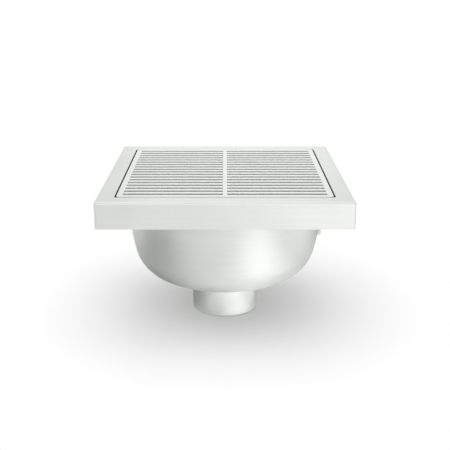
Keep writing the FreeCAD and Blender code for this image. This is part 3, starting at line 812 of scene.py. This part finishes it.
class FLOORSINK_OT_welds(bpy.types.Operator):
    """Lays the weld beads of the outlet, the bowl, the lug and the grate's bars"""
    bl_idname = "floorsink.welds"
    bl_label = "Welds"

    def execute(self, context):
        self.rings()
        self.lug()
        self.tacks()
        return {"FINISHED"}

    def rings(self):
        """Beads where the pipe meets the bowl and where the bowl meets the seat."""
        pipe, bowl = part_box("outlet_spigot")[1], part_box("bowl")
        thin, thick = sizes().bead, sizes().outlet_bead
        # The outlet bead is thick and sits low, so its dark metal also serves as painted shade along the seam
        # under the bowl.
        for name, slot, reach, height, radius in (
                ("outlet_weld", "pipe_steel", pipe.x, bowl[0].z - thick + thin, thick),
                ("bowl_weld", "bowl_steel", bowl[1].x, bowl[1].z, thin)):
            bm = bmesh.new()
            ring_bead(bm, reach, height, radius)
            new_piece(name, bm, SINK, [weld_metal()])

    def lug(self):
        """A bead along each side of the lug's root."""
        size = sizes()
        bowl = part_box("bowl")[1]
        low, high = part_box("bonding_lug")
        centre = bowl.x - size.wall_curve
        bm = bmesh.new()
        for side in (-size.lug_sheet / 2, size.lug_sheet / 2):
            ends = [(centre + math.sqrt(size.wall_curve ** 2 - (level - bowl.z) ** 2), side, level)
                    for level in (low.z, high.z)]
            line_bead(bm, *ends)
        turn = Matrix.Rotation(size.lug_bearing, 3, "Z")
        bmesh.ops.rotate(bm, verts=bm.verts[:], cent=(0, 0, 0), matrix=turn)
        new_piece("lug_welds", bm, SINK, [weld_metal()])

    def tacks(self):
        """Short beads between the plate's ribs and the bars under its sides and its middle."""
        size = sizes()
        middles = slot_middles()
        ribs = [(front + rear) / 2 for front, rear in zip(middles, middles[1:])]
        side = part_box("grate_side_bars")[1].x - size.edge_bar
        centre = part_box("grate_centre_bar")[1]
        half = Vector((0, size.tack_length / 2, 0))
        bm = bmesh.new()
        for x in (-side, -centre.x, centre.x, side):
            for y in ribs[1::size.tack_every]:
                middle = Vector((x, y, centre.z))
                line_bead(bm, middle - half, middle + half)
        new_piece("grate_tacks", bm, GRATE, [weld_metal()])


# Studio

WHITE = (1, 1, 1, 1)
FLAG_ROUGHNESS = 0.9
DISC_SIDES = 64
FLOOR_SIDES = 128
# Width of the camera's sensor in millimetres
SENSOR_WIDTH = 36
# Light with fewer diffuse bounces than this has had none
HALF_BOUNCE = 0.5
# For each lamp: its place, its width and height, its power and whether it shows in the steel
SOFTBOXES = {
    "Top light": ((-0.10, -0.22, 1.5), (2.2, 2.2), 8.2, False),
    "Ceiling": ((0.0, 0.2, 1.4), (1.2, 1.2), 2.1, True),
    "Back light": ((0.04, 1.6, 0.55), (0.7, 0.5), 0.42, True),
    "Front light": ((0.3, -1.7, 0.75), (2.4, 1.3), 4.0, True),
}
# For each grey card, which shows in the steel alone: two corners
FLAGS = {
    "Left flag": ((-0.262, -0.22, 0.002), (-0.26, -0.02, 0.084)),
    "Rear flag": ((-0.02, 0.26, 0.002), (0.30, 0.262, 0.12)),
}
# For each soft disc on the floor, which shows in the steel alone: its middle, its two half lengths, the
# bearing of the first one, the share of the floor that shows through its middle, and the glow it adds there
DISCS = {
    "Right glow": ((0.15, -0.206, 0.002), (0.34, 0.17), -54.0, 1.0, 0.72),
    "Skirt glow": ((0.50, -0.77, 0.007), (0.80, 0.55), 0.0, 1.0, 0.98),
    "Front glow": ((0.03, -0.095, 0.003), (0.10, 0.05), 0.0, 1.0, 0.12),
    "Contact glow": ((0.03, -0.055, 0.0015), (0.06, 0.04), 0.0, 1.0, 0.38),
    "Left glow": ((-0.045, -0.135, 0.0035), (0.085, 0.06), 0.0, 1.0, 0.22),
    "Near left glow": ((-0.055, -0.07, 0.0012), (0.05, 0.04), 0.0, 1.0, 0.22),
    "Foot glow": ((0.07, -0.035, 0.001), (0.06, 0.05), 0.0, 1.0, 0.20),
    "Side glow": ((0.12, 0.0, 0.008), (0.08, 0.05), 0.0, 1.0, 0.50),
    "Knuckle glow": ((0.19, -0.08, 0.0045), (0.08, 0.06), 0.0, 1.0, 0.20),
    "Far glow": ((0.50, -0.04, 0.011), (0.38, 0.17), -4.0, 1.0, 0.38),
    "Rear left glow": ((-0.36, 0.40, 0.012), (0.24, 0.26), 0.0, 1.0, 0.60),
    "Left shade": ((-0.25, -0.06, 0.004), (0.22, 0.32), 0.0, 0.50, 0.0),
    "Pipe shade": ((-0.10, 0.015, 0.0025), (0.10, 0.10), 0.0, 0.58, 0.0),
    "Right shade": ((0.28, 0.27, 0.005), (0.36, 0.17), 8.0, 0.45, 0.0),
    "Rear shade": ((0.0, 0.13, 0.006), (0.20, 0.12), 0.0, 0.35, 0.0),
}


class FLOORSINK_OT_stage(bpy.types.Operator):
    """Sets the camera, the lamps, the floor and the background"""
    bl_idname = "floorsink.stage"
    bl_label = "Studio"

    def execute(self, context):
        self.camera()
        self.floor()
        for name, setting in SOFTBOXES.items():
            self.softbox(name, *setting)
        self.flags()
        self.discs()
        self.world()
        bpy.context.scene.view_settings.view_transform = "Standard"
        return {"FINISHED"}

    def camera(self):
        """The camera, at the photograph's angle."""
        setting = studio()
        data = bpy.data.cameras.new("Camera")
        data.lens = setting.camera_lens
        data.sensor_width = SENSOR_WIDTH
        camera = bpy.data.objects.new("Camera", data)
        camera.location = setting.camera_place
        camera.rotation_euler = (math.pi / 2 - setting.camera_pitch, 0, 0)
        bpy.context.scene.collection.objects.link(camera)
        bpy.context.scene.camera = camera

    def softbox(self, name, place, size, power, in_steel):
        """A rectangular lamp that faces the middle of the sink and that the camera doesn't see."""
        data = bpy.data.lights.new(name, "AREA")
        data.shape = "RECTANGLE"
        data.size, data.size_y = size
        data.energy = power
        lamp = bpy.data.objects.new(name, data)
        lamp.location = place
        middle = (CAD_BOX[0] + CAD_BOX[1]) / 2
        lamp.rotation_euler = (middle - lamp.location).to_track_quat("-Z", "Y").to_euler()
        lamp.visible_camera = False
        lamp.visible_glossy = in_steel
        bpy.context.scene.collection.objects.link(lamp)

    def flags(self):
        """Grey cards that only show in the steel's reflections."""
        material, tree, shader = new_material("Flag")
        shader.inputs["Base Color"].default_value = (*studio().flag_tone, 1)
        shader.inputs["Roughness"].default_value = FLAG_ROUGHNESS
        tree.links.new(self.seen_in_steel(tree), shader.inputs["Alpha"])
        for name, (low, high) in FLAGS.items():
            bm = bmesh.new()
            block(bm, low, high)
            card = self.stage_object(name, bm)
            card.data.materials.append(material)
            self.in_reflections_only(card)

    def seen_in_steel(self, tree):
        """1 for what the camera sees in the steel, 0 for light on its way to the floor."""
        bounces = add_node(tree, "ShaderNodeLightPath").outputs["Diffuse Depth"]
        return math_node(tree, "LESS_THAN", bounces, HALF_BOUNCE)

    def discs(self):
        """Discs on the floor that lighten or darken the steel's reflections, softly towards their edges."""
        for name, (middle, reach, bearing, through, glow) in DISCS.items():
            turn = math.radians(bearing)
            place = Matrix.Translation(middle) @ Matrix.Rotation(turn, 4, "Z")
            bm = bmesh.new()
            bmesh.ops.create_circle(bm, cap_ends=True, segments=DISC_SIDES, radius=1,
                                    matrix=place @ Matrix.Diagonal((*reach, 1, 1)))
            disc = self.stage_object(name, bm)
            disc.data.materials.append(self.disc_material(name, middle, reach, turn, through, glow))
            self.in_reflections_only(disc)

    def disc_material(self, name, middle, reach, turn, through, glow):
        """Lets a share of the floor through and adds a glow, both fading out towards the disc's edge."""
        material = bpy.data.materials.new(name)
        tree = self.cleared_tree(material)
        spot = add_node(tree, "ShaderNodeMapping", {
            "Vector": object_place(tree), "Location": middle, "Rotation": (0, 0, turn),
            "Scale": (*reach, 1)}, vector_type="TEXTURE").outputs[0]
        out = add_node(tree, "ShaderNodeVectorMath", {0: spot}, operation="LENGTH").outputs["Value"]
        fade = add_node(tree, "ShaderNodeMapRange", {"Value": out, "To Min": 1.0, "To Max": 0.0},
                        interpolation_type="SMOOTHSTEP").outputs[0]
        fade = math_node(tree, "MULTIPLY", fade, self.seen_in_steel(tree))
        floor_share = mix_colours(tree, fade, (1, 1, 1), (through, through, through))
        clear = add_node(tree, "ShaderNodeBsdfTransparent", {"Color": floor_share}).outputs[0]
        strength = math_node(tree, "MULTIPLY", fade, glow)
        light = add_node(tree, "ShaderNodeEmission", {"Strength": strength}).outputs[0]
        added = add_node(tree, "ShaderNodeAddShader", {0: clear, 1: light}).outputs[0]
        add_node(tree, "ShaderNodeOutputMaterial", {"Surface": added})
        return material

    def cleared_tree(self, owner):
        """The node tree of a material or a world, emptied."""
        owner.use_nodes = True
        owner.node_tree.nodes.clear()
        return owner.node_tree

    def in_reflections_only(self, card):
        """Hides a card from everything but reflections."""
        card.visible_camera = False
        card.visible_diffuse = False
        card.visible_transmission = False
        card.visible_shadow = False

    def stage_object(self, name, bm):
        """An object that belongs to the studio."""
        mesh = bpy.data.meshes.new(name)
        bm.to_mesh(mesh)
        bm.free()
        made = bpy.data.objects.new(name, mesh)
        bpy.context.scene.collection.objects.link(made)
        return made

    def floor(self):
        """A matt white disc that fades out into the background and can't be seen from below."""
        setting = studio()
        stretch = (setting.floor_stretch, 1, 1)
        bm = bmesh.new()
        bmesh.ops.create_circle(bm, cap_ends=True, segments=FLOOR_SIDES, radius=setting.floor_radius,
                                matrix=Matrix.Diagonal((*stretch, 1)))
        floor = self.stage_object("Floor", bm)
        material = bpy.data.materials.new("Floor")
        tree = self.cleared_tree(material)
        spot = add_node(tree, "ShaderNodeVectorMath", {0: object_place(tree), 1: stretch},
                        operation="DIVIDE").outputs[0]
        reach = add_node(tree, "ShaderNodeVectorMath", {0: spot}, operation="LENGTH").outputs["Value"]
        fade = add_node(tree, "ShaderNodeMapRange", {
            "Value": reach, "From Min": setting.floor_fade, "From Max": setting.floor_radius}).outputs[0]
        behind = add_node(tree, "ShaderNodeNewGeometry").outputs["Backfacing"]
        hidden = math_node(tree, "MAXIMUM", fade, behind)
        matt = add_node(tree, "ShaderNodeBsdfDiffuse", {"Color": (*setting.floor_colour, 1)}).outputs[0]
        clear = add_node(tree, "ShaderNodeBsdfTransparent").outputs[0]
        mixed = add_node(tree, "ShaderNodeMixShader", {0: hidden, 1: matt, 2: clear}).outputs[0]
        add_node(tree, "ShaderNodeOutputMaterial", {"Surface": mixed})
        floor.data.materials.append(material)

    def world(self):
        """White to the camera and in reflections, and a plain fill on matt surfaces."""
        world = bpy.data.worlds.new("Studio")
        tree = self.cleared_tree(world)
        rays = add_node(tree, "ShaderNodeLightPath").outputs
        shown = math_node(tree, "MAXIMUM", rays["Is Camera Ray"], rays["Is Glossy Ray"])
        shown = math_node(tree, "MAXIMUM", shown, rays["Is Transmission Ray"])
        fill, white = (
            add_node(tree, "ShaderNodeBackground", {"Color": WHITE, "Strength": strength}).outputs[0]
            for strength in (studio().world_fill, 1.0))
        mixed = add_node(tree, "ShaderNodeMixShader", {0: shown, 1: fill, 2: white}).outputs[0]
        add_node(tree, "ShaderNodeOutputWorld", {"Surface": mixed})
        bpy.context.scene.world = world


OPERATORS = (FLOORSINK_OT_rim, FLOORSINK_OT_bowl, FLOORSINK_OT_outlet, FLOORSINK_OT_lug, FLOORSINK_OT_pads,
             FLOORSINK_OT_grate, FLOORSINK_OT_strainer, FLOORSINK_OT_welds, FLOORSINK_OT_stage)


class FLOORSINK_PT_panel(bpy.types.Panel):
    """Lists the pieces of the sink and the studio"""
    bl_idname = "FLOORSINK_PT_panel"
    bl_label = "Floor sink"
    bl_space_type = "VIEW_3D"
    bl_region_type = "UI"
    bl_category = "Floor sink"

    def draw(self, context):
        for operator in OPERATORS:
            self.layout.operator(operator.bl_idname)


SETTINGS = {"floor_sink_sizes": FloorSinkSizes, "floor_sink_finishes": FloorSinkFinishes,
            "floor_sink_studio": FloorSinkStudio}


def register():
    """Adds the settings, the operators and the panel to Blender."""
    for group in SETTINGS.values():
        bpy.utils.register_class(group)
    for name, group in SETTINGS.items():
        setattr(bpy.types.Scene, name, PointerProperty(type=group))
    for kind in (*OPERATORS, FLOORSINK_PT_panel):
        bpy.utils.register_class(kind)


def unregister():
    """Takes them out again."""
    for kind in (FLOORSINK_PT_panel, *reversed(OPERATORS)):
        bpy.utils.unregister_class(kind)
    for name, group in SETTINGS.items():
        delattr(bpy.types.Scene, name)
        bpy.utils.unregister_class(group)


def main():
    """Builds the pieces and the studio."""
    register()
    bpy.ops.floorsink.rim()
    bpy.ops.floorsink.bowl()
    bpy.ops.floorsink.outlet()
    bpy.ops.floorsink.lug()
    bpy.ops.floorsink.pads()
    bpy.ops.floorsink.grate()
    bpy.ops.floorsink.strainer()
    bpy.ops.floorsink.welds()
    bpy.ops.floorsink.stage()


if __name__ == "__main__":
    main()
